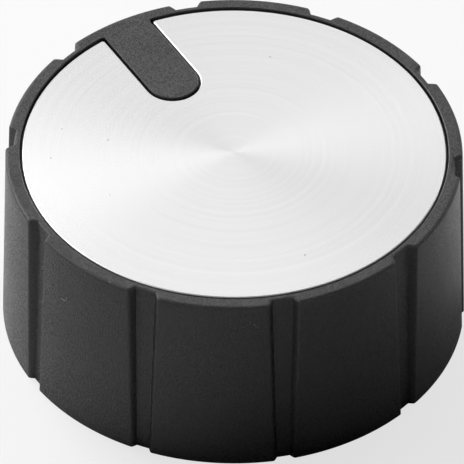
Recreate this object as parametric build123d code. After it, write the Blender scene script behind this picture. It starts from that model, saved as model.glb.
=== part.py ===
from build123d import *
import os
from math import asin, atan2, cos, degrees, radians, sin, sqrt, tan

# Grill control knob in millimetres. The knob's axis is Z, its skirt stands on z = 0, its pointer is on +Y.

# Grip: the drafted outside of the skirt with its panels and grooves
height = 23.3
skirt_radius = 26.0
wall_draft = 1.2
groove_count = 10
groove_depth_top = 0.85
groove_depth_bottom = 0.57
groove_floor_top = 2.35
groove_floor_bottom = 1.45
flank_angle = 35.0
shoulder_round = 0.5
rim_round = 0.4
rim_round_steps = 3

# Face plate, its film and the recess that holds them
rim_band = 0.71
plate_thickness = 0.8
plate_sink = 0.1
plate_gap = 0.3
plate_edge_break = 0.1
plate_corner_round = 0.3
film_thickness = 0.15
film_inset = 0.4

# Pointer finger, moulded in one with the rim, its length measured inwards from the recess wall
pointer_angle = 90.0
pointer_width = 5.8
pointer_length = 13.3
recess_edge_break = 0.1
recess_corner_round = 0.35

# Hollow underside
skirt_wall = 1.6
top_wall = 2.2
cavity_draft = 1.9
cavity_bevel = 1.0

# Hub with the hole for the valve stem
stem_diameter = 8.0
stem_flat = 2.5
stem_clearance = 0.05
hub_wall = 2.95
hub_draft = 1.0
hub_setback = 4.5
hub_root_bevel = 0.8
guide_clearance = 0.25
guide_length = 5.0
guide_lead_in = 0.4
socket_end_wall = 2.7

# Ribs from the hub to the skirt
rib_count = 4
rib_thickness = 1.5
rib_draft = 1.0
rib_height = 11.0
rib_first_angle = 45.0

# Leaf spring, folded like a hairpin, and its pocket beside the flat of the stem hole
spring_strip = 0.35
spring_width = 3.6
spring_end_gap = 0.5
spring_fold_radius = 0.7
spring_bow = 0.6
spring_clearance = 0.05
spring_side_clearance = 0.2
pocket_depth = 2.1
pocket_nib = 0.2

# Levels, angles and radii that follow from the sizes above
pitch = 360 / groove_count
rim_radius = skirt_radius - height * tan(radians(wall_draft))
recess_floor = height - plate_sink - plate_thickness - film_thickness
recess_radius = rim_radius - groove_depth_top - rim_band
plate_radius = recess_radius - plate_gap
pointer_tip = recess_radius - pointer_length
cavity_top = recess_floor - top_wall
cavity_mouth_radius = skirt_radius - groove_depth_bottom - skirt_wall
socket_radius = stem_diameter / 2 + stem_clearance
socket_flat = stem_flat + stem_clearance
guide_radius = stem_diameter / 2 + guide_clearance
hub_radius = socket_radius + hub_wall
guide_top = hub_setback + guide_length
socket_top = recess_floor - socket_end_wall
pocket_wall = socket_flat + pocket_depth
pocket_width = spring_width + 2 * spring_side_clearance
spring_bottom = guide_top + pocket_nib + spring_clearance + spring_strip / 2
spring_top = socket_top - spring_end_gap
pocket_top = spring_top + spring_clearance


# A point given by its radius and its angle from +X in degrees
def polar(radius, angle):
    return Vector(radius * cos(radians(angle)), radius * sin(radians(angle)))


# Angle from a groove's middle to the corner of its floor, and to its mouth on the outer circle
def groove_angles(outer_radius, floor_radius, floor_width):
    floor_angle = degrees(asin(floor_width / 2 / floor_radius))
    corner = polar(floor_radius, floor_angle)
    slope = Vector(cos(radians(flank_angle)), sin(radians(flank_angle)))
    along = corner.dot(slope)
    run = sqrt(along ** 2 + outer_radius ** 2 - floor_radius ** 2) - along
    mouth = corner + slope * run
    return floor_angle, degrees(atan2(mouth.Y, mouth.X))


# Outer radius, floor radius and floor width of the grooved outline at one height
def groove_sizes(z):
    share = z / height
    outer_radius = skirt_radius + (rim_radius - skirt_radius) * share
    depth = groove_depth_bottom + (groove_depth_top - groove_depth_bottom) * share
    floor_width = groove_floor_bottom + (groove_floor_top - groove_floor_bottom) * share
    return outer_radius, outer_radius - depth, floor_width


# Angle from a groove's middle past which the panel is a plain cone all the way up
def cone_start_angle():
    angles = []
    for z in (0, height):
        outer_radius, floor_radius, floor_width = groove_sizes(z)
        mouth_angle = groove_angles(outer_radius, floor_radius, floor_width)[1]
        angles.append(mouth_angle + degrees(shoulder_round / outer_radius))
    return max(angles)


# How far a vertex lies round from the nearest groove's middle, in degrees
def groove_offset(vertex):
    turn = (degrees(atan2(vertex.Y, vertex.X)) - pointer_angle - pitch / 2) % pitch
    return min(turn, pitch - turn)


# Plan section of the grip at one height: round panels with a flat-bottomed groove between each two.
# An inset shrinks it evenly, as the round on the top edge needs.
def grip_section(z, inset=0.0):
    outer_radius, floor_radius, floor_width = groove_sizes(z)
    floor_angle, mouth_angle = groove_angles(outer_radius, floor_radius, floor_width)
    cone_angle = cone_start_angle()
    stops = [mouth_angle, cone_angle, pitch - cone_angle, pitch - mouth_angle]
    edges = []
    for index in range(groove_count):
        middle = pointer_angle + (index + 0.5) * pitch
        edges.append(Line(polar(outer_radius, middle - mouth_angle), polar(floor_radius, middle - floor_angle)))
        edges.append(CenterArc((0, 0), floor_radius, middle - floor_angle, 2 * floor_angle))
        edges.append(Line(polar(floor_radius, middle + floor_angle), polar(outer_radius, middle + mouth_angle)))
        for start, end in zip(stops, stops[1:]):
            edges.append(CenterArc((0, 0), outer_radius, middle + start, end - start))
    section = make_face(edges)
    outer = [v for v in section.vertices() if Vector(v).length > (outer_radius + floor_radius) / 2]
    shoulders = [v for v in outer if groove_offset(v) < (mouth_angle + cone_angle) / 2]
    section = fillet(shoulders, shoulder_round)
    if inset:
        section = offset(section, -inset, kind=Kind.INTERSECTION)
    return Pos(0, 0, z) * section


# The solid grip: a drafted body under a rim whose round is laid on in steps, each a narrow bevel
def grip_blank():
    sections = [grip_section(0)]
    for step in range(rim_round_steps + 1):
        turn = radians(90 * step / rim_round_steps)
        drop = rim_round * (1 - sin(turn))
        sections.append(grip_section(height - drop, rim_round * (1 - cos(turn))))
    return loft(sections, ruled=True)


# Plan shape of the pointer: a round-ended finger that runs out past a given radius, grown by a gap
def finger(gap, reach):
    half_width = pointer_width / 2 + gap
    tip_centre = pointer_tip + pointer_width / 2
    bar = Pos(0, (tip_centre + reach) / 2) * Rectangle(2 * half_width, reach - tip_centre)
    return bar + Pos(0, tip_centre) * Circle(half_width)


# Plan shape of a disc with the pointer's slot cut out of it, corners rounded where the two meet
def slotted_disc(radius, gap, corner):
    disc = Circle(radius) - finger(gap, radius + pointer_width)
    corners = [v for v in disc.vertices() if Vector(v).length > radius - plate_gap]
    return fillet(corners, corner)


# The recess for the plate, cut round the pointer, with its upper edge broken
def cut_recess(body):
    outline = slotted_disc(recess_radius, 0, recess_corner_round)
    body = body - extrude(Pos(0, 0, recess_floor) * outline, amount=height - recess_floor + 1)
    top_face = body.faces().filter_by(Plane.XY).sort_by(Axis.Z)[-1]
    inner_edges = top_face.inner_wires().edges()
    return chamfer(inner_edges, recess_edge_break)


# The hollow under the knob: a cone that widens to the mouth, bevelled at its ceiling
def cavity():
    shoulder = cavity_top - cavity_bevel
    shoulder_radius = cavity_mouth_radius - shoulder * tan(radians(cavity_draft))
    profile = Polyline((0, 0), (cavity_mouth_radius, 0), (shoulder_radius, shoulder),
                       (shoulder_radius - cavity_bevel, cavity_top), (0, cavity_top), close=True)
    return revolve(Plane.XZ * make_face(profile), Axis.Z)


# The hub, thicker towards its root and splayed out where it meets the top wall
def hub():
    foot = cavity_top - hub_root_bevel
    foot_radius = hub_radius + (foot - hub_setback) * tan(radians(hub_draft))
    root_radius = foot_radius + hub_root_bevel
    root = cavity_top + top_wall / 2
    profile = Polyline((0, hub_setback), (hub_radius, hub_setback), (foot_radius, foot), (root_radius, cavity_top),
                       (root_radius, root), (0, root), close=True)
    return revolve(Plane.XZ * make_face(profile), Axis.Z)


# One rib, thinner at its free edge, from inside the hub to inside the skirt wall
def rib(angle):
    reach = cavity_mouth_radius + skirt_wall / 2 - cavity_top * tan(radians(cavity_draft))
    inner = hub_radius / 2 + socket_radius / 2
    root_thickness = rib_thickness + 2 * rib_height * tan(radians(rib_draft))
    free_edge = cavity_top - rib_height
    root = cavity_top + top_wall / 2
    section = Polyline((-rib_thickness / 2, free_edge), (rib_thickness / 2, free_edge),
                       (root_thickness / 2, root), (-root_thickness / 2, root), close=True)
    bar = extrude(Plane.YZ.offset(inner) * make_face(section), amount=reach - inner)
    return Rot(0, 0, angle) * bar


# The stem hole: a round guide with a lead-in, and above it the socket with its flat towards the pointer
def stem_hole():
    guide = Pos(0, 0, hub_setback) * extrude(Circle(guide_radius), amount=guide_length)
    lead_in = Pos(0, 0, hub_setback + guide_lead_in / 2) * Cone(
        guide_radius + guide_lead_in, guide_radius, guide_lead_in)
    width = 2 * socket_radius + 1
    keep = Pos(0, socket_flat - width / 2) * Rectangle(width, width)
    d_section = Circle(socket_radius) & keep
    socket = extrude(Pos(0, 0, guide_top) * d_section, amount=socket_top - guide_top)
    return guide + lead_in + socket


# The spring's pocket beside the flat, open to the mouth and stepped in by a nib at the socket's foot
def spring_pocket():
    inner = socket_flat - spring_bow
    deep = pocket_wall - inner
    main_height = pocket_top - guide_top - pocket_nib
    main = Pos(0, inner + deep / 2, pocket_top - main_height / 2) * Box(pocket_width, deep, main_height)
    entry_height = pocket_top - hub_setback
    entry_depth = deep - pocket_nib
    entry = Pos(0, inner + entry_depth / 2, pocket_top - entry_height / 2) * Box(
        pocket_width, entry_depth, entry_height)
    return main + entry


# The moulded knob: grip, rim, pointer, hub and ribs in one piece
def make_knob_body():
    body = cut_recess(grip_blank())
    body = body - cavity()
    inside = hub()
    for index in range(rib_count):
        inside = inside + rib(rib_first_angle + index * 360 / rib_count)
    body = body + inside
    return body - stem_hole() - spring_pocket()


# The metal disc on top, with the pointer's slot and its upper edge just broken
def make_face_plate():
    outline = slotted_disc(plate_radius, plate_gap, plate_corner_round)
    bottom = recess_floor + film_thickness
    plate = extrude(Pos(0, 0, bottom) * outline, amount=plate_thickness)
    return chamfer(plate.faces().sort_by(Axis.Z)[-1].edges(), plate_edge_break)


# The double-sided film under the plate, a little smaller all round
def make_adhesive_pad():
    outline = slotted_disc(plate_radius - film_inset, plate_gap + film_inset, plate_corner_round)
    return extrude(Pos(0, 0, recess_floor) * outline, amount=film_thickness)


# The hairpin spring: a flat leg against the pocket's wall, a fold at the top, a bowed leg on the stem
def make_stem_spring():
    leg_y = pocket_wall - spring_clearance - spring_strip / 2
    bow_y = leg_y - 2 * spring_fold_radius
    fold_z = spring_top - spring_strip / 2 - spring_fold_radius
    leg = Line((leg_y, spring_bottom), (leg_y, fold_z))
    fold = ThreePointArc((leg_y, fold_z), (leg_y - spring_fold_radius, fold_z + spring_fold_radius),
                         (bow_y, fold_z))
    bow = ThreePointArc((bow_y, fold_z), (bow_y - spring_bow, (fold_z + spring_bottom) / 2),
                        (bow_y, spring_bottom))
    strip = make_face(offset(Wire([leg, fold, bow]), spring_strip / 2).edges())
    return extrude(Plane.YZ.offset(-spring_width / 2) * strip, amount=spring_width)


def main():
    os.makedirs("parts", exist_ok=True)
    nodes = {
        "knob_body": make_knob_body(),
        "face_plate": make_face_plate(),
        "adhesive_pad": make_adhesive_pad(),
        "stem_spring": make_stem_spring(),
    }
    for name, shape in nodes.items():
        export_step(shape, "parts/" + name + ".step")
        print(name, "solids", len(shape.solids()), "volume", round(shape.volume, 1))


main()
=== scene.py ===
# %% [markdown]
# # A grill control knob
# The knob has four pieces: a black moulded body with ten grooves, a brushed metal face plate, the film
# that holds the plate down, and a small leaf spring inside the stem hole. Their shapes come from the packed
# model, in metres, with the knob's axis on Z and its pointer on +Y. This script adds the camera, the studio,
# the finishes, a finer outer wall for the body, and a little lint and dust. Nothing is moved or resized.

# %% Load the frame
from functools import partial
import math
import bmesh
import bpy
from mathutils import Matrix, Vector


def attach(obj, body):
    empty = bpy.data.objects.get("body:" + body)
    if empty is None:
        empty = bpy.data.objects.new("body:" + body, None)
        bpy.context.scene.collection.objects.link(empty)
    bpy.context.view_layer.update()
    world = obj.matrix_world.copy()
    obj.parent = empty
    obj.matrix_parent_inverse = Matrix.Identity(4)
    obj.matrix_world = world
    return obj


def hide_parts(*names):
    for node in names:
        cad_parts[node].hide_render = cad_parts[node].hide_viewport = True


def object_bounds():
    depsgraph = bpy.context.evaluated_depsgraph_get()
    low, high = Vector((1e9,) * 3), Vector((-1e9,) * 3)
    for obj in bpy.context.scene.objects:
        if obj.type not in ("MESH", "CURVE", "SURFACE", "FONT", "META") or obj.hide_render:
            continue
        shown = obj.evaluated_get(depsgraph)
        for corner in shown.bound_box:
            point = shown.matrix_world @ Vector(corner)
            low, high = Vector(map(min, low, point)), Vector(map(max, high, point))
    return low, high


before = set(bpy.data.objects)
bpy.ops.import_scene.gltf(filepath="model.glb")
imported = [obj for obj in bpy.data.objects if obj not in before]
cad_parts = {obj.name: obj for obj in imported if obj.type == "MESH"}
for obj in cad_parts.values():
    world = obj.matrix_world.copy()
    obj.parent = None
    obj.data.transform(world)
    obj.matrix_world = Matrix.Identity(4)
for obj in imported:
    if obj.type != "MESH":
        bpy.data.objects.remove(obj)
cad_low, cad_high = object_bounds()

MM = 0.001
print("nodes:", sorted(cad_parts))
print("size in mm:", [round(x / MM, 2) for x in cad_high - cad_low])

# %% [markdown]
# ## The camera
# A product photographer stands well back with a long lens, so that the round face keeps its true ellipse.
# The ellipse's height against its width gives the camera's height above the table, and the pointer's
# direction gives how far round the camera stands. Both could be found by eye, but a camera built from
# angles and a distance is easier to read and to change than one with a typed-in matrix.

# %% Place the camera
camera_azimuth = math.radians(-30.8)
camera_elevation = math.radians(43.0)
camera_roll = math.radians(0.242)
camera_distance = 1.419
camera_lens = 993.57
sensor_width = 36.0
look_at = Vector((-6.93, -11.24, 23.3)) * MM


def direction(azimuth, elevation):
    """From the knob outwards. Azimuth 0 is the -Y side and grows towards +X."""
    level = math.cos(elevation)
    return Vector((math.sin(azimuth) * level, -math.cos(azimuth) * level, math.sin(elevation)))


def place_camera():
    back = direction(camera_azimuth, camera_elevation)
    level_right = Vector((math.cos(camera_azimuth), math.sin(camera_azimuth), 0))
    level_up = back.cross(level_right)
    right = level_right * math.cos(camera_roll) + level_up * math.sin(camera_roll)
    up = level_up * math.cos(camera_roll) - level_right * math.sin(camera_roll)
    data = bpy.data.cameras.new("camera")
    data.lens = camera_lens
    data.sensor_width = sensor_width
    camera = bpy.data.objects.new("camera", data)
    turn = Matrix((right, up, back)).transposed().to_4x4()
    camera.matrix_world = Matrix.Translation(look_at + back * camera_distance) @ turn
    bpy.context.scene.collection.objects.link(camera)
    bpy.context.scene.camera = camera
    return camera


camera = place_camera()
print("camera stands at", [round(x, 3) for x in camera.matrix_world.translation])

# %% [markdown]
# ## Helpers for node trees
# Every finish below is a small tree of shader nodes, and the grip and the lint are trees of geometry nodes.
# Typing out each node and link makes long cells, so a few short helpers do it. An input may be a number,
# a colour or another node's output, and feed() sets it or links it as needed.

# %% Node helpers


def feed(tree, socket, value):
    if isinstance(value, bpy.types.NodeSocket):
        tree.links.new(value, socket)
    else:
        socket.default_value = value


def add_node(tree, kind, settings=None, **inputs):
    """Adds a node. settings are its own options; inputs are values or sockets, spaces written as _."""
    node = tree.nodes.new(kind)
    for key, value in (settings or {}).items():
        setattr(node, key, value)
    for key, value in inputs.items():
        feed(tree, node.inputs[key.replace("_", " ")], value)
    return node


def calc(tree, operation, *values, clamp=False):
    """One Math node, and its result."""
    node = add_node(tree, "ShaderNodeMath", {"operation": operation, "use_clamp": clamp})
    for socket, value in zip(node.inputs, values):
        feed(tree, socket, value)
    return node.outputs[0]


def vector_calc(tree, operation, *values, output=0):
    """One Vector Math node. Its output 0 is a vector, and output 1 a number, such as a length."""
    node = add_node(tree, "ShaderNodeVectorMath", {"operation": operation})
    for socket, value in zip(node.inputs, values):
        feed(tree, socket, value)
    return node.outputs[output]


print("node helpers ready")

# %% [markdown]
# ## Helpers for materials
# A finish mixes tones, heights or directions by a mask, from 0 to 1. A Mix node does each of these, but
# keeps its own sockets for each kind of value, so one helper knows which they are. Another turns any number
# into a mask with soft ends. Tones are written as shares of a colour, so that one number sets them all.

# %% Material helpers
mix_sockets = {
    # kind: (first input, second input, output)
    "FLOAT": (2, 3, 0),
    "VECTOR": (4, 5, 1),
    "RGBA": (6, 7, 2),
}


def blend(tree, share, first, second, kind="FLOAT"):
    """The first value where the share is 0, and the second where it is 1."""
    node = add_node(tree, "ShaderNodeMix", {"data_type": kind}, Factor=share)
    first_input, second_input, output = mix_sockets[kind]
    feed(tree, node.inputs[first_input], first)
    feed(tree, node.inputs[second_input], second)
    return node.outputs[output]


def grey(level):
    return (level, level, level, 1.0)


def blend_tones(tree, share, colour, darkest, palest):
    """A grey between two shares of one colour."""
    return blend(tree, share, grey(colour * darkest), grey(colour * palest), "RGBA")


def ramp(tree, value, low, high, to_low=0.0, to_high=1.0):
    """Maps low..high onto to_low..to_high smoothly, and holds the ends."""
    node = add_node(tree, "ShaderNodeMapRange", {"interpolation_type": "SMOOTHSTEP"})
    for socket, number in zip(node.inputs, (value, low, high, to_low, to_high)):
        feed(tree, socket, number)
    return node.outputs[0]


def new_material(name):
    material = bpy.data.materials.new(name)
    material.use_nodes = True
    material.node_tree.nodes.clear()
    return material, material.node_tree


print("material helpers ready")

# %% [markdown]
# ## The table and the background
# The photograph shows the knob cut out on white. A white sheet as floor does the same, and still gives the
# knob a soft shadow to stand in. For rays that gather light, and so for all that the knob receives, the
# sheet is plain paper. For the camera it is part paper and part glow, which makes the open sheet white and
# keeps the shadow, only paler. It lies a hair below the knob, so that no two faces share a plane.

# %% Floor
floor_half_size = 4.0
floor_gap = 0.01 * MM
paper_colour = 0.86
paper_for_camera = 0.28
glow_for_camera = 0.72


def make_floor_material():
    material, tree = new_material("white_sheet")
    camera_ray = add_node(tree, "ShaderNodeLightPath").outputs["Is Camera Ray"]
    colour = blend(tree, camera_ray, grey(paper_colour), grey(paper_for_camera), "RGBA")
    paper = add_node(tree, "ShaderNodeBsdfDiffuse", Color=colour)
    glow = add_node(tree, "ShaderNodeEmission", Strength=calc(tree, "MULTIPLY", camera_ray, glow_for_camera))
    both = add_node(tree, "ShaderNodeAddShader")
    tree.links.new(paper.outputs[0], both.inputs[0])
    tree.links.new(glow.outputs[0], both.inputs[1])
    add_node(tree, "ShaderNodeOutputMaterial", Surface=both.outputs[0])
    return material


def make_floor():
    s = floor_half_size
    mesh = bpy.data.meshes.new("floor")
    mesh.from_pydata([(-s, -s, 0), (s, -s, 0), (s, s, 0), (-s, s, 0)], [], [(0, 1, 2, 3)])
    mesh.materials.append(make_floor_material())
    floor = bpy.data.objects.new("floor", mesh)
    floor.location.z = cad_low.z - floor_gap
    bpy.context.scene.collection.objects.link(floor)
    return floor


floor = make_floor()
print("floor at z =", round(floor.location.z / MM, 3), "mm")

# %% [markdown]
# ## The room
# The world is white to look at, in the metal too, but dark as a lamp, so that the softboxes shape the knob.
# A studio has white screens behind and beside the object, and the room stays dark in front of it and on its
# right. Edges that face that way mirror the room as dark lines, so reflections see the world darker there.

# %% World
dim_azimuth = math.radians(30.0)
dim_from = math.radians(97.0)
dim_to = math.radians(72.0)
dim_strength = 0.05


def light_world():
    world = bpy.data.worlds.new("studio")
    world.use_nodes = True
    tree = world.node_tree
    tree.nodes.clear()
    ray = add_node(tree, "ShaderNodeLightPath").outputs
    mirror_ray = calc(tree, "MAXIMUM", ray["Is Glossy Ray"], ray["Is Transmission Ray"])
    towards = add_node(tree, "ShaderNodeTexCoord").outputs["Generated"]
    middle = direction(camera_azimuth + dim_azimuth, 0)
    nearness = vector_calc(tree, "DOT_PRODUCT", towards, middle, output=1)
    mirrored = ramp(tree, nearness, math.cos(dim_from), math.cos(dim_to), 1.0, dim_strength)
    strength = calc(tree, "MAXIMUM", calc(tree, "MULTIPLY", mirror_ray, mirrored), ray["Is Camera Ray"])
    background = add_node(tree, "ShaderNodeBackground", Color=grey(1.0), Strength=strength)
    add_node(tree, "ShaderNodeOutputWorld", Surface=background.outputs[0])
    bpy.context.scene.world = world


light_world()
bpy.context.scene.view_settings.view_transform = "Standard"
print("reflections see the room at", dim_strength, "of its white in front, on the right")

# %% [markdown]
# ## The lamps
# Brushed metal shows what it faces. Seen from in front and above, the plate mirrors what stands behind it,
# so wide softboxes there make it pale all over. Stronger boxes on the left, a little behind, draw the bright
# fans across the plate and light the left-hand panels, and a weaker one on the right gives the last panels
# on that side their grey edge. In front stand only four low screens that nothing but reflections can see.
# They keep the plate bright when it is seen from behind, and the near panels still go almost black towards
# the table. Each box is given by its radiance, because that is what a reflection shows, and a flat lamp's
# power is its radiance times its area times pi.

# %% Softboxes
lamp_distance = 0.9
softboxes = {
    # name: (degrees round from the camera, degrees up, width, height, radiance)
    "back_high": (180, 65, 0.70, 0.35, 1.98),
    "back_low": (180, 18, 1.00, 0.30, 0.38),
    "back_left_strip": (205, 30, 0.30, 0.50, 2.17),
    "left_strip": (240, 30, 0.30, 0.50, 2.82),
    "left_back_low": (222, 18, 0.50, 0.35, 4.93),
    "left_back_high": (222, 42, 0.50, 0.40, 5.58),
    "left_low": (265, 18, 0.50, 0.35, 1.25),
    "left_high": (265, 45, 0.50, 0.40, 0.59),
    "right_back_low": (138, 18, 0.50, 0.35, 1.82),
}
screens = {
    "front_left_screen": (-40, 21, 0.60, 0.34, 1.2),
    "front_screen": (0, 21, 0.60, 0.34, 1.2),
    "front_right_screen": (38, 20, 0.55, 0.32, 1.2),
    "right_screen": (75, 15, 0.50, 0.26, 1.2),
}


def add_softbox(name, azimuth, elevation, width, height, radiance):
    outwards = direction(camera_azimuth + math.radians(azimuth), math.radians(elevation))
    data = bpy.data.lights.new(name, "AREA")
    data.shape = "RECTANGLE"
    data.size = width
    data.size_y = height
    data.energy = radiance * width * height * math.pi
    lamp = bpy.data.objects.new(name, data)
    turn = outwards.to_track_quat("Z", "Y").to_matrix().to_4x4()
    lamp.matrix_world = Matrix.Translation(outwards * lamp_distance) @ turn
    lamp.visible_camera = False
    bpy.context.scene.collection.objects.link(lamp)
    return lamp


for name, settings in softboxes.items():
    add_softbox(name, *settings)
for name, settings in screens.items():
    screen = add_softbox(name, *settings)
    screen.visible_diffuse = False
print("softboxes:", len(softboxes), " screens:", len(screens))

# %% [markdown]
# ## Helpers for grain
# Moulded, brushed and rolled surfaces all carry a fine pattern that is not quite regular. It could be a
# picture, but noise made from the object's own coordinates needs no unwrapping and stays sharp at any size.
# A pattern that runs one way is the same noise, stretched.

# %% Grain helpers


def object_place(tree):
    """Where a point lies on its own object, in metres."""
    return add_node(tree, "ShaderNodeTexCoord").outputs["Object"]


def facing_up(tree):
    """How far the surface faces up: 1 on a level top, 0 on an upright wall."""
    normal = add_node(tree, "ShaderNodeTexCoord").outputs["Normal"]
    return add_node(tree, "ShaderNodeSeparateXYZ", Vector=normal).outputs["Z"]


def stretch(tree, place, width, length):
    """Coordinates that grow by 1 in each width sideways and in each length upwards."""
    return vector_calc(tree, "MULTIPLY", place, (1 / width, 1 / width, 1 / length))


def noise(tree, place, size, detail):
    """Noise with lumps of this size. detail is how many finer layers it gets."""
    return add_node(tree, "ShaderNodeTexNoise", Vector=place, Scale=1 / size, Detail=detail).outputs["Fac"]


def bump(tree, height):
    """The surface's direction, as if it had this height in metres."""
    return add_node(tree, "ShaderNodeBump", Height=height, Strength=1.0, Distance=1.0).outputs[0]


print("grain helpers ready")

# %% [markdown]
# ## The moulded plastic
# The body is one black moulding, and its skin is a print of the steel mould. The sides have a fine satin
# grain, while the rim and the pointer were spark-eroded and carry a pebbled one, rougher and duller. Each
# grain shows three ways: in its height, in its tone and in its gloss. Two materials could meet at an edge,
# but one that lets the surface's own direction choose the grain has no seam, even over the rounded rim.

# %% Moulded plastic
body_colour = 0.018
plastic_ior = 1.50
wall_to_top = (0.55, 0.95)
grain_detail = 1.0
satin_grain = {"size": 0.16 * MM, "height": 0.026 * MM, "noise_span": (0.32, 0.68), "tones": (0.2, 2.0),
               "roughness": 0.29, "gloss_spread": 0.14}
pebble_grain = {"size": 0.15 * MM, "height": 0.024 * MM, "noise_span": (0.36, 0.64), "tones": (0.4, 1.6),
                "roughness": 0.66, "gloss_spread": 0.10}
patch_size = 6 * MM
patch_detail = 4.0
patch_span = (0.3, 0.7)
patch_gloss = 0.03


def make_grain(tree, place, size, height, noise_span, tones, roughness, gloss_spread):
    """The height, tone and roughness of one grain. A lump's top is paler and glossier than its foot."""
    lump = ramp(tree, noise(tree, place, size, grain_detail), *noise_span)
    tone = blend_tones(tree, lump, body_colour, *tones)
    gloss = ramp(tree, lump, 0, 1, roughness + gloss_spread, roughness - gloss_spread)
    return calc(tree, "MULTIPLY", lump, height), tone, gloss


def make_moulded_plastic():
    material, tree = new_material("moulded_plastic")
    place = object_place(tree)
    is_top = ramp(tree, facing_up(tree), *wall_to_top)
    side_height, side_tone, side_gloss = make_grain(tree, place, **satin_grain)
    top_height, top_tone, top_gloss = make_grain(tree, place, **pebble_grain)
    colour = blend(tree, is_top, side_tone, top_tone, "RGBA")
    height = blend(tree, is_top, side_height, top_height)
    cloud = noise(tree, place, patch_size, patch_detail)
    patches = ramp(tree, cloud, *patch_span, -patch_gloss, patch_gloss)
    roughness = calc(tree, "ADD", blend(tree, is_top, side_gloss, top_gloss), patches)
    shader = add_node(tree, "ShaderNodeBsdfPrincipled", Base_Color=colour, Roughness=roughness,
                      Normal=bump(tree, height))
    shader.inputs["IOR"].default_value = plastic_ior
    add_node(tree, "ShaderNodeOutputMaterial", Surface=shader.outputs[0])
    return material


moulded_plastic = make_moulded_plastic()
print("moulded plastic: grain of", satin_grain["size"] / MM, "mm on the sides and",
      pebble_grain["size"] / MM, "mm on top")

# %% [markdown]
# ## The brushed face plate
# The disc was spun against an abrasive, which left thousands of fine scratches round its middle. They act
# like tiny mirrors that are turned only inwards and outwards, so a highlight spreads along the radius and
# the plate shows two opposite fans. The shader's anisotropy does that, once its tangent points along the
# radius. The scratches themselves are noise that changes fast along the radius and slowly round it, and
# wider bands of it stand for where the abrasive bit more or less. The punched edge isn't brushed: it is
# rough and bare, with short upright marks. Its metal is also given a much paler colour than the face's,
# a painted highlight, so that it shows as a bright line beside the pointer.

# %% Brushed metal
plate_colour = 0.60
plate_tones = (0.955, 1.04)
plate_roughness = 0.26
plate_gloss_spread = 0.01
plate_anisotropy = 0.62
edge_to_face = (0.80, 0.98)
ring_span = (0.25, 0.75)
scratch_rings = {"pitch": 0.28 * MM, "turns": 0.35, "detail": 1.0}
band_rings = {"pitch": 0.75 * MM, "turns": 0.10, "detail": 2.0}
scratch_share = 0.3
band_share = 0.7
scratch_depth = 0.00008 * MM
# The cut edge's metal is paler than the face's: a painted highlight that makes it show as a bright line.
cut_highlight_colour = 0.90
cut_tones = (0.9, 1.0)
cut_roughness = 0.35
cut_mark_width = 0.05 * MM
cut_mark_length = 0.6 * MM
cut_mark_depth = 0.001 * MM
cut_mark_detail = 2.0


def rings(tree, radius, outwards, pitch, turns, detail):
    """Noise that changes once in each pitch of radius, and slowly round the middle."""
    around = vector_calc(tree, "MULTIPLY", outwards, (turns, turns, 0.0))
    across = add_node(tree, "ShaderNodeCombineXYZ", Z=calc(tree, "DIVIDE", radius, pitch)).outputs[0]
    return ramp(tree, noise(tree, vector_calc(tree, "ADD", around, across), 1, detail), *ring_span)


def make_brushed_metal():
    material, tree = new_material("brushed_metal")
    place = object_place(tree)
    is_face = ramp(tree, facing_up(tree), *edge_to_face)
    flat = vector_calc(tree, "MULTIPLY", place, (1.0, 1.0, 0.0))
    radius = vector_calc(tree, "LENGTH", flat, output=1)
    outwards = vector_calc(tree, "NORMALIZE", flat)
    scratches = rings(tree, radius, outwards, **scratch_rings)
    bands = rings(tree, radius, outwards, **band_rings)
    both = calc(tree, "ADD", calc(tree, "MULTIPLY", scratches, scratch_share),
                calc(tree, "MULTIPLY", bands, band_share))
    face_tone = blend_tones(tree, both, plate_colour, *plate_tones)
    roughest = plate_roughness + plate_gloss_spread
    smoothest = plate_roughness - plate_gloss_spread
    face_gloss = ramp(tree, both, 0, 1, roughest, smoothest)
    face_height = calc(tree, "MULTIPLY", scratches, scratch_depth)
    marks = noise(tree, stretch(tree, place, cut_mark_width, cut_mark_length), 1, cut_mark_detail)
    # The cut edge's tone: its real marks, on a colour paler than the face's metal, which is a painted
    # highlight.
    cut_marks_and_highlight_tone = blend_tones(tree, marks, cut_highlight_colour, *cut_tones)
    cut_height = calc(tree, "MULTIPLY", marks, cut_mark_depth)
    shader = add_node(tree, "ShaderNodeBsdfPrincipled",
                      Base_Color=blend(tree, is_face, cut_marks_and_highlight_tone, face_tone, "RGBA"),
                      Roughness=blend(tree, is_face, cut_roughness, face_gloss),
                      Normal=bump(tree, blend(tree, is_face, cut_height, face_height)),
                      Tangent=blend(tree, is_face, (0.0, 0.0, 1.0), outwards, "VECTOR"))
    shader.inputs["Metallic"].default_value = 1.0
    shader.inputs["Anisotropic"].default_value = plate_anisotropy
    add_node(tree, "ShaderNodeOutputMaterial", Surface=shader.outputs[0])
    return material


brushed_metal = make_brushed_metal()
print("brushed metal: scratches", scratch_rings["pitch"] / MM, "mm apart")

# %% [markdown]
# ## The film and the spring
# Two pieces are hardly seen. The film under the plate shows only as a dark line in the gap, and the spring
# sits inside the stem hole, where the knob has to be turned over to find it. They still get their own
# finishes: a matt foam with a slight unevenness, and rolled steel with streaks along its length.

# %% Foam film
foam_size = 0.2 * MM
foam_detail = 3.0
foam_darkest = 0.09
foam_palest = 0.15
foam_height = 0.02 * MM
foam_roughness = 0.85


def make_film():
    material, tree = new_material("foam_film")
    foam = noise(tree, object_place(tree), foam_size, foam_detail)
    colour = blend(tree, foam, grey(foam_darkest), grey(foam_palest), "RGBA")
    height = calc(tree, "MULTIPLY", foam, foam_height)
    shader = add_node(tree, "ShaderNodeBsdfPrincipled", Base_Color=colour, Normal=bump(tree, height))
    shader.inputs["Roughness"].default_value = foam_roughness
    add_node(tree, "ShaderNodeOutputMaterial", Surface=shader.outputs[0])
    return material


foam_film = make_film()
print("foam film: cells of", foam_size / MM, "mm")

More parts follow.
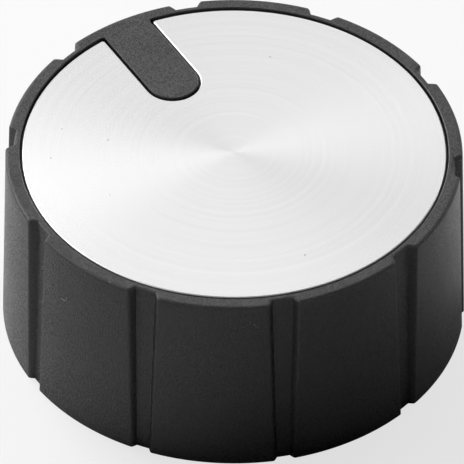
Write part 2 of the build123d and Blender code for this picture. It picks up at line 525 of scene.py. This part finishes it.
# %% Spring steel
steel_dark = (0.42, 0.42, 0.43, 1)
steel_pale = (0.58, 0.57, 0.56, 1)
steel_roughness = (0.26, 0.40)
streak_width = 0.08 * MM
streak_length = 4 * MM
streak_depth = 0.002 * MM
streak_detail = 3.0
streak_span = (0.3, 0.7)


def make_spring_steel():
    material, tree = new_material("rolled_steel")
    streak = noise(tree, stretch(tree, object_place(tree), streak_width, streak_length), 1, streak_detail)
    colour = blend(tree, streak, steel_dark, steel_pale, "RGBA")
    roughness = ramp(tree, streak, *streak_span, *steel_roughness)
    height = calc(tree, "MULTIPLY", streak, streak_depth)
    shader = add_node(tree, "ShaderNodeBsdfPrincipled", Base_Color=colour, Roughness=roughness,
                      Normal=bump(tree, height))
    shader.inputs["Metallic"].default_value = 1.0
    add_node(tree, "ShaderNodeOutputMaterial", Surface=shader.outputs[0])
    return material


spring_steel = make_spring_steel()
print("spring steel: streaks", streak_length / MM, "mm long")

# %% [markdown]
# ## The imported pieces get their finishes
# The plate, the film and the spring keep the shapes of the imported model. Only the material in their slots
# is exchanged, which changes how they look and leaves every measure as it was.

# %% Give each piece its finish
finishes = {"face_plate": brushed_metal, "adhesive_pad": foam_film, "stem_spring": spring_steel}
for node_name, material in finishes.items():
    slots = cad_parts[node_name].material_slots
    for slot in slots:
        slot.material = material
    print(node_name, "has", material.name, "in", len(slots), "slot")

# %% [markdown]
# ## Helpers for Geometry Nodes
# A Geometry Nodes tree is a recipe: named sizes go in and a shape comes out. One helper makes an empty tree
# with its named inputs. The second ends it, and the third runs it and keeps the result as a plain mesh,
# which any program can read. A modifier finds an input by the socket's identifier and not by its name, so
# that helper looks the identifiers up, and it sets every value before the object is first evaluated.

# %% Geometry Nodes helpers


def new_geometry_tree(name, inputs):
    """An empty tree. inputs gives each named input its kind of socket. Returns the inputs by name too."""
    tree = bpy.data.node_groups.new(name, "GeometryNodeTree")
    for label, kind in inputs.items():
        tree.interface.new_socket(name=label, in_out="INPUT", socket_type="NodeSocket" + kind)
    tree.interface.new_socket(name="Result", in_out="OUTPUT", socket_type="NodeSocketGeometry")
    return tree, add_node(tree, "NodeGroupInput").outputs


def end_tree(tree, geometry, material):
    """The last nodes of every tree: real geometry, with its material."""
    real = add_node(tree, "GeometryNodeRealizeInstances", Geometry=geometry).outputs[0]
    painted = add_node(tree, "GeometryNodeSetMaterial", Geometry=real, Material=material).outputs[0]
    add_node(tree, "NodeGroupOutput", Result=painted)


def run_geometry_tree(tree, values, start=None):
    """Runs the tree on a mesh with its inputs set, and returns the result as a plain mesh."""
    holder = bpy.data.objects.new(tree.name, start or bpy.data.meshes.new(tree.name))
    modifier = holder.modifiers.new(tree.name, "NODES")
    modifier.node_group = tree
    for socket in tree.interface.items_tree:
        if socket.name in values:
            modifier[socket.identifier] = values[socket.name]
    bpy.context.scene.collection.objects.link(holder)
    graph = bpy.context.evaluated_depsgraph_get()
    mesh = bpy.data.meshes.new_from_object(holder.evaluated_get(graph), depsgraph=graph)
    holder.modifiers.remove(modifier)
    bpy.data.objects.remove(holder)
    return mesh


print("geometry helpers ready")

# %% [markdown]
# ## The grip's rule
# Fingers hold the knob by ten panels with a groove between each two. All ten are alike, so the outline can
# be written as one rule: how far the surface stands from the axis, given the angle from the nearest
# groove's middle. That is the floor of the groove, then a straight flank, then the round panel, and the
# shoulder between flank and panel is a smooth blend of both. Moulds need draft, so upwards the wall leans
# in and the grooves get wider and deeper. On the rim's round the whole outline shrinks. The same shape
# could be cut groove by groove with booleans, but a rule keeps every edge clean and is easy to change.

# %% Sizes of the grip
knob_height = 23.3
skirt_radius = 26.0
draft = math.radians(1.2)
grip_sizes = {
    "Height": knob_height * MM,
    "Radius Bottom": skirt_radius * MM,
    "Radius Top": (skirt_radius - knob_height * math.tan(draft)) * MM,
    "Groove Count": 10,
    "Groove Depth Bottom": 0.57 * MM,
    "Groove Depth Top": 0.85 * MM,
    "Floor Width Bottom": 1.45 * MM,
    "Floor Width Top": 2.35 * MM,
    "Flank Angle": math.radians(35),
    "Shoulder Round": 0.5 * MM,
    "Rim Round": 0.4 * MM,
    "First Angle": math.radians(90),
}
print("the wall leans in by", round((grip_sizes["Radius Bottom"] - grip_sizes["Radius Top"]) / MM, 2), "mm")

# %% [markdown]
# ## The grid behind the grip
# A flat grid is curled into a ring. Its rows run up the wall and then in a quarter turn over the rim. Its
# columns run round the knob, and each belongs to one of three stretches: the floor of a groove, a flank or
# a panel. An even spacing would be simpler, but the flanks are narrow and curved and need more columns
# than the wide panels. In each of these helpers, do() stands for one Math node of the tree.

# %% Rows: up the wall and over the rim
wall_rows = 12
rim_rows = 8
quarter_turn = math.pi / 2


def place_rows(do, size, along):
    """The height of a row, and how far the rim's round has drawn the outline in. along is -0.5 to 0.5."""
    row = do("MULTIPLY", do("ADD", along, 0.5), wall_rows + rim_rows)
    up_wall = do("DIVIDE", row, wall_rows, clamp=True)
    past_wall = do("DIVIDE", do("SUBTRACT", row, wall_rows), rim_rows, clamp=True)
    over_rim = do("MULTIPLY", past_wall, quarter_turn)
    inset = do("MULTIPLY", size["Rim Round"], do("SUBTRACT", 1.0, do("COSINE", over_rim)))
    straight = do("MULTIPLY", up_wall, do("SUBTRACT", size["Height"], size["Rim Round"]))
    z = do("MULTIPLY_ADD", do("SINE", over_rim), size["Rim Round"], straight)
    return z, inset


print("rows:", wall_rows, "up the wall and", rim_rows, "over the rim")

# %% Columns: round the knob
floor_columns = 2
flank_columns = 8
panel_columns = 8
half_columns = floor_columns + flank_columns + panel_columns


def place_columns(do, size, along, floor_angle, panel_angle):
    """A column's angle from its groove's middle, and its angle round the knob. along is -0.5 to 0.5."""
    half_pitch = do("DIVIDE", math.pi, size["Groove Count"])
    column = do("MULTIPLY", do("ADD", along, 0.5), size["Groove Count"])
    groove = do("FLOOR", column)
    local = do("SUBTRACT", do("SUBTRACT", column, groove), 0.5)
    step = do("MULTIPLY", do("ABSOLUTE", local), 2.0 * half_columns)
    on_floor = do("DIVIDE", step, floor_columns, clamp=True)
    on_flank = do("DIVIDE", do("SUBTRACT", step, floor_columns), flank_columns, clamp=True)
    on_panel = do("DIVIDE", do("SUBTRACT", step, floor_columns + flank_columns), panel_columns, clamp=True)
    offset = do("MULTIPLY", floor_angle, on_floor)
    offset = do("MULTIPLY_ADD", do("SUBTRACT", panel_angle, floor_angle), on_flank, offset)
    offset = do("MULTIPLY_ADD", do("SUBTRACT", half_pitch, panel_angle), on_panel, offset)
    middle = do("MULTIPLY", do("ADD", groove, 0.5), do("MULTIPLY", half_pitch, 2.0))
    angle = do("ADD", do("MULTIPLY_ADD", do("SIGN", local), offset, middle), size["First Angle"])
    return offset, angle


print("columns in half a groove and half a panel:", half_columns)

# %% [markdown]
# ## The outline at one height
# The rule needs a few radii and angles at each height. A flank is a straight line seen from the axis, so
# its radius is the line's distance from the axis, divided by the sine of the angle between the line and
# the ray. Where that radius equals the floor's or the panel's, the flank begins or ends. All of this could
# be worked out in Python, but then the tree's sizes could no longer be changed in Blender.

# %% Radii and angles of the outline


def at_height(do, size, name, share):
    """A size that changes evenly from the foot to the top."""
    change = do("SUBTRACT", size[name + " Top"], size[name + " Bottom"])
    return do("MULTIPLY_ADD", change, share, size[name + " Bottom"])


def outline(do, size, z, inset):
    share = do("DIVIDE", z, size["Height"])
    flank = size["Flank Angle"]
    full_panel = at_height(do, size, "Radius", share)
    full_floor = do("SUBTRACT", full_panel, at_height(do, size, "Groove Depth", share))
    half_width = do("MULTIPLY", at_height(do, size, "Floor Width", share), 0.5)
    full_angle = do("ARCSINE", do("DIVIDE", half_width, full_floor))
    full_reach = do("MULTIPLY", full_floor, do("SINE", do("SUBTRACT", flank, full_angle)))
    reach = do("SUBTRACT", full_reach, inset)
    panel_radius = do("SUBTRACT", full_panel, inset)
    floor_radius = do("SUBTRACT", full_floor, inset)
    mouth_angle = do("SUBTRACT", flank, do("ARCSINE", do("DIVIDE", reach, panel_radius)))
    return {
        "flank reach": reach,
        "panel radius": panel_radius,
        "floor radius": floor_radius,
        "floor angle": do("SUBTRACT", flank, do("ARCSINE", do("DIVIDE", reach, floor_radius))),
        "panel angle": do("ADD", mouth_angle, do("DIVIDE", size["Shoulder Round"], panel_radius)),
    }


print("outline helper ready")

# %% [markdown]
# ## The tree that makes the grip's wall
# The pieces come together here. The smaller of the flank's and the panel's radius bounds the body, with a
# soft minimum for the rounded shoulder, and the groove's floor stops the flank from below. Then the first
# and the last column meet and are merged, which closes the ring.

# %% Build the wall
shoulder_softness = 0.76
seam_distance = 0.001 * MM


def wall_tree():
    kinds = {name: "Int" if name == "Groove Count" else "Float" for name in grip_sizes}
    tree, size = new_geometry_tree("grip_wall", {**kinds, "Material": "Material"})
    do = partial(calc, tree)
    columns = do("MULTIPLY_ADD", size["Groove Count"], 2.0 * half_columns, 1.0)
    grid = add_node(tree, "GeometryNodeMeshGrid", Size_X=1.0, Size_Y=1.0, Vertices_X=columns,
                    Vertices_Y=wall_rows + rim_rows + 1)
    position = add_node(tree, "GeometryNodeInputPosition").outputs[0]
    flat = add_node(tree, "ShaderNodeSeparateXYZ", Vector=position).outputs
    z, inset = place_rows(do, size, flat["Y"])
    line = outline(do, size, z, inset)
    offset, angle = place_columns(do, size, flat["X"], line["floor angle"], line["panel angle"])
    flank_radius = do("DIVIDE", line["flank reach"], do("SINE", do("SUBTRACT", size["Flank Angle"], offset)))
    softness = do("MULTIPLY", do("SUBTRACT", size["Shoulder Round"], inset), shoulder_softness)
    rounded = do("SMOOTH_MIN", line["panel radius"], flank_radius, softness)
    radius = do("MAXIMUM", rounded, line["floor radius"])
    place = add_node(tree, "ShaderNodeCombineXYZ", X=do("MULTIPLY", radius, do("COSINE", angle)),
                     Y=do("MULTIPLY", radius, do("SINE", angle)), Z=z).outputs[0]
    curled = add_node(tree, "GeometryNodeSetPosition", Geometry=grid.outputs["Mesh"], Position=place)
    ring = add_node(tree, "GeometryNodeMergeByDistance", Geometry=curled.outputs[0], Distance=seam_distance)
    end_tree(tree, ring.outputs[0], size["Material"])
    return tree


wall_mesh = run_geometry_tree(wall_tree(), {**grip_sizes, "Material": moulded_plastic})
print("the wall has", len(wall_mesh.vertices), "vertices and", len(wall_mesh.polygons), "faces")

# %% [markdown]
# ## The body
# The wall is only the outside. What lies inside, the recess with the pointer, the hollow, the hub with its
# stem hole and the ribs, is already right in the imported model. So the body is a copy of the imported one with
# its outer wall, its flat rim and its foot taken off, and the new wall in their place. Both flat ends are
# then filled between the new outer edge and the old inner one, and a closed mesh is the proof that it fits.

# %% Join the wall to the inside of the body
weld_distance = 0.0005 * MM
outside_limit = 24.15 * MM


def is_level(part, z):
    """True for a face or an edge that lies at this height."""
    return all(abs(vertex.co.z - z) < weld_distance for vertex in part.verts)


def is_outer(face, bottom, top):
    """True for a face of the wall, the rim or the foot, which the new wall replaces."""
    far_out = any(vertex.co.xy.length > outside_limit for vertex in face.verts)
    return far_out or is_level(face, bottom) or is_level(face, top)


def join_body(packed, wall, bottom, top):
    joined = bmesh.new()
    joined.from_mesh(packed)
    bmesh.ops.remove_doubles(joined, verts=joined.verts, dist=weld_distance)
    print("packed volume in mm3:", round(joined.calc_volume() / MM ** 3, 1))
    outer = [face for face in joined.faces if is_outer(face, bottom, top)]
    bmesh.ops.delete(joined, geom=outer, context="FACES")
    joined.from_mesh(wall)
    for z, up in ((bottom, -1), (top, 1)):
        ends = [edge for edge in joined.edges if edge.is_boundary and is_level(edge, z)]
        bmesh.ops.triangle_fill(joined, edges=ends, use_beauty=True, normal=(0, 0, up))
    bmesh.ops.recalc_face_normals(joined, faces=joined.faces)
    return joined


foot, rim = 0.0, grip_sizes["Height"]
body_mesh = join_body(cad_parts["knob_body"].data, wall_mesh, foot, rim)
print("new volume in mm3:", round(body_mesh.calc_volume() / MM ** 3, 1))
print("open or doubled edges:", sum(not edge.is_manifold for edge in body_mesh.edges))
print("triangles:", sum(len(face.verts) - 2 for face in body_mesh.faces))

# %% [markdown]
# ## The body's edges
# A moulding has soft rounds and a few true edges, where two parts of the mould met. Smooth shading gives
# the rounds. An edge is kept sharp where two faces meet steeply, and round the level foot and rim, which
# would otherwise take a false sheen from the wall beside them. Then the finished piece stands for the
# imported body.

# %% Shade the body and put it in its place
crease_angle = math.radians(32)


def set_creases(mesh, *levels):
    for face in mesh.faces:
        face.smooth = True
    for edge in mesh.edges:
        flat = [any(is_level(face, z) for z in levels) for face in edge.link_faces]
        edge.smooth = edge.calc_face_angle() < crease_angle and all(flat) == any(flat)


def plain_mesh(name, shape, material):
    """The finished shape as a mesh with one material."""
    mesh = bpy.data.meshes.new(name)
    shape.to_mesh(mesh)
    shape.free()
    mesh.materials.clear()
    mesh.materials.append(material)
    mesh.polygons.foreach_set("material_index", [0] * len(mesh.polygons))
    return mesh


set_creases(body_mesh, foot, rim)
grip_body = bpy.data.objects.new("grip_body", plain_mesh("grip_body", body_mesh, moulded_plastic))
bpy.context.scene.collection.objects.link(grip_body)
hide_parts("knob_body")
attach(grip_body, "root")
print("sharp edges:", sum(edge.use_edge_sharp for edge in grip_body.data.edges))

# %% [markdown]
# ## Lint and dust
# The photograph shows a few short fibres that cling to the plastic, one in the gap beside the plate, some
# small scuffs on the panels, and specks of dust on the metal. They could be painted marks, but a real
# fibre stands up a little and catches the light on its own. So each is a short path, drawn near the surface
# that it lies on.

# %% Paths of the fibres, scuffs and specks
fibre_paths = [
    # points in mm, on or near the surface
    [(-11.54, -22.81, 21.19), (-11.10, -23.03, 20.80), (-10.64, -23.25, 20.27)],
    [(-24.94, -5.84, 17.62), (-25.00, -5.60, 17.00), (-25.05, -5.35, 16.82), (-25.14, -4.90, 16.80)],
    [(-22.85, -11.70, 23.25), (-22.60, -11.45, 23.30), (-22.75, -11.20, 23.30)],
    [(-25.60, -1.70, 13.85), (-25.62, -1.66, 13.45)],
    [(2.20, -23.72, 22.95), (2.99, -23.62, 23.05), (3.75, -23.50, 22.95)],
]
scuff_paths = [
    [(-2.66, -25.71, 6.94), (-2.56, -25.72, 6.82)],
    [(3.07, -25.75, 3.11), (3.17, -25.74, 2.99)],
    [(-0.27, -25.74, 11.95), (-0.17, -25.74, 11.83)],
    [(-11.39, -23.25, 5.00), (-11.30, -23.29, 4.88)],
    [(-15.53, -20.38, 17.66), (-15.45, -20.44, 17.54)],
    [(-22.76, -12.12, 9.94), (-22.71, -12.21, 9.82)],
    [(-19.32, -17.23, 5.26), (-19.25, -17.30, 5.14)],
]
speck_paths = [
    [(-1.88, -18.45, 23.2), (-1.74, -18.44, 23.2)],
    [(11.52, 11.46, 23.2), (11.54, 11.62, 23.2)],
    [(-15.49, 0.87, 23.2), (-15.47, 1.00, 23.2)],
    [(-11.18, 8.83, 23.2), (-11.06, 8.86, 23.2)],
    [(-14.68, 12.98, 23.2), (-14.62, 13.07, 23.2)],
    [(-18.12, 9.45, 23.2), (-18.10, 9.56, 23.2)],
]
print("fibres:", len(fibre_paths), " scuffs:", len(scuff_paths), " specks:", len(speck_paths))

# %% [markdown]
# ## The tree that makes the lint
# The tree bends each path a little, lays it on the nearest surface and gives it a thin round section with
# tapered ends. A curve object with a bevel would give such threads too, but the tree also finds the surface
# by itself, so a path may be drawn roughly and still rest where it should.

# %% Lay a path on the surface
lift_share = 0.35


def lay_on_surface(tree, given):
    """The paths as curves, bent by noise and laid on the body or the plate, whichever is nearer."""
    surface = add_node(tree, "GeometryNodeJoinGeometry")
    for name in ("Plate", "Body"):
        info = add_node(tree, "GeometryNodeObjectInfo", Object=given[name])
        tree.links.new(info.outputs["Geometry"], surface.inputs[0])
    curves = add_node(tree, "GeometryNodeMeshToCurve", Mesh=given["Paths"]).outputs[0]
    points = add_node(tree, "GeometryNodeResampleCurve", Curve=curves, Count=given["Points"]).outputs[0]
    position = add_node(tree, "GeometryNodeInputPosition").outputs[0]
    per_metre = calc(tree, "DIVIDE", 1.0, given["Curl Size"])
    wander = add_node(tree, "ShaderNodeTexNoise", {"noise_dimensions": "4D"}, Vector=position,
                      W=given["Seed"], Scale=per_metre, Detail=0.0)
    centred = vector_calc(tree, "SUBTRACT", wander.outputs["Color"], (0.5, 0.5, 0.5))
    bend = add_node(tree, "ShaderNodeVectorMath", {"operation": "SCALE"}, Vector=centred, Scale=given["Curl"])
    bent = add_node(tree, "GeometryNodeSetPosition", Geometry=points, Offset=bend.outputs[0]).outputs[0]
    nearest = add_node(tree, "GeometryNodeProximity", {"target_element": "FACES"}, Target=surface.outputs[0])
    normal = add_node(tree, "GeometryNodeInputNormal").outputs[0]
    sample = add_node(tree, "GeometryNodeSampleNearestSurface", {"data_type": "FLOAT_VECTOR"},
                      Mesh=surface.outputs[0], Value=normal)
    rise = add_node(tree, "ShaderNodeVectorMath", {"operation": "SCALE"}, Vector=sample.outputs["Value"],
                    Scale=calc(tree, "MULTIPLY", given["Thickness"], lift_share))
    resting = vector_calc(tree, "ADD", nearest.outputs["Position"], rise.outputs[0])
    return add_node(tree, "GeometryNodeSetPosition", Geometry=bent, Position=resting).outputs[0]


print("a fibre's middle lies", lift_share, "of its thickness above the surface")

# %% Build the tree for lint
taper_power = 4.0
taper_share = 0.75
lint_sides = 8


def lint_tree():
    inputs = {"Paths": "Geometry", "Body": "Object", "Plate": "Object", "Thickness": "Float", "Curl": "Float",
              "Curl Size": "Float", "Points": "Int", "Seed": "Float", "Material": "Material"}
    tree, given = new_geometry_tree("lint", inputs)
    laid = lay_on_surface(tree, given)
    along = add_node(tree, "GeometryNodeSplineParameter").outputs["Factor"]
    from_middle = calc(tree, "ABSOLUTE", calc(tree, "MULTIPLY_ADD", along, 2.0, -1.0))
    thinner = calc(tree, "MULTIPLY", calc(tree, "POWER", from_middle, taper_power), taper_share)
    taper = calc(tree, "SUBTRACT", 1.0, thinner)
    shaped = add_node(tree, "GeometryNodeSetCurveRadius", Curve=laid, Radius=taper).outputs[0]
    half = calc(tree, "MULTIPLY", given["Thickness"], 0.5)
    circle = add_node(tree, "GeometryNodeCurvePrimitiveCircle", Resolution=lint_sides, Radius=half)
    tube = add_node(tree, "GeometryNodeCurveToMesh", Curve=shaped, Profile_Curve=circle.outputs["Curve"],
                    Fill_Caps=True)
    end_tree(tree, tube.outputs[0], given["Material"])
    return tree


shared_lint_tree = lint_tree()
print("the lint tree has", len(shared_lint_tree.nodes), "nodes")

# %% [markdown]
# ## The lint's material and its place
# Fibres are grey cotton, scuffs are the same plastic rubbed pale, and dust on the metal looks dark. All
# three are matt and a little uneven, so one material with its own grey for each will do. The tree runs once
# for each kind, and each kind becomes one piece.

# %% Material of the lint
clump_size = 0.12 * MM
clump_detail = 2.0
clump_tones = (0.7, 1.3)
lint_roughness = 0.8


def make_lint_material(name, level):
    material, tree = new_material(name)
    clump = noise(tree, object_place(tree), clump_size, clump_detail)
    colour = blend_tones(tree, clump, level, *clump_tones)
    shader = add_node(tree, "ShaderNodeBsdfPrincipled", Base_Color=colour)
    shader.inputs["Roughness"].default_value = lint_roughness
    add_node(tree, "ShaderNodeOutputMaterial", Surface=shader.outputs[0])
    return material


print("lint material: clumps of", clump_size / MM, "mm")

# %% Lay the lint on the knob
lint_kinds = {
    # name: (paths, grey, thickness, how far the path wanders)
    "pale_fibres": (fibre_paths, 0.35, 0.07 * MM, 0.15 * MM),
    "pale_specks": (scuff_paths, 0.25, 0.05 * MM, 0.0),
    "dust_specks": (speck_paths, 0.06, 0.07 * MM, 0.0),
}
shared_values = {"Body": grip_body, "Plate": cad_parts["face_plate"], "Curl Size": 0.6 * MM,
                 "Points": 12, "Seed": 7.0}


def path_mesh(name, paths):
    """The paths as chains of edges in one mesh, in metres."""
    points, edges = [], []
    for path in paths:
        first = len(points)
        points += [Vector(point) * MM for point in path]
        edges += [(i, i + 1) for i in range(first, len(points) - 1)]
    mesh = bpy.data.meshes.new(name)
    mesh.from_pydata(points, edges, [])
    return mesh


def add_lint(name, paths, level, thickness, curl):
    material = make_lint_material(name, level)
    values = {**shared_values, "Thickness": thickness, "Curl": curl, "Material": material}
    mesh = run_geometry_tree(shared_lint_tree, values, path_mesh(name, paths))
    mesh.shade_smooth()
    mesh.materials.clear()
    mesh.materials.append(material)
    piece = bpy.data.objects.new(name, mesh)
    bpy.context.scene.collection.objects.link(piece)
    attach(piece, "root")
    print(name, "has", len(mesh.polygons), "faces")


for name, settings in lint_kinds.items():
    add_lint(name, *settings)

# %% [markdown]
# ## The end

# %% The end
print("done")
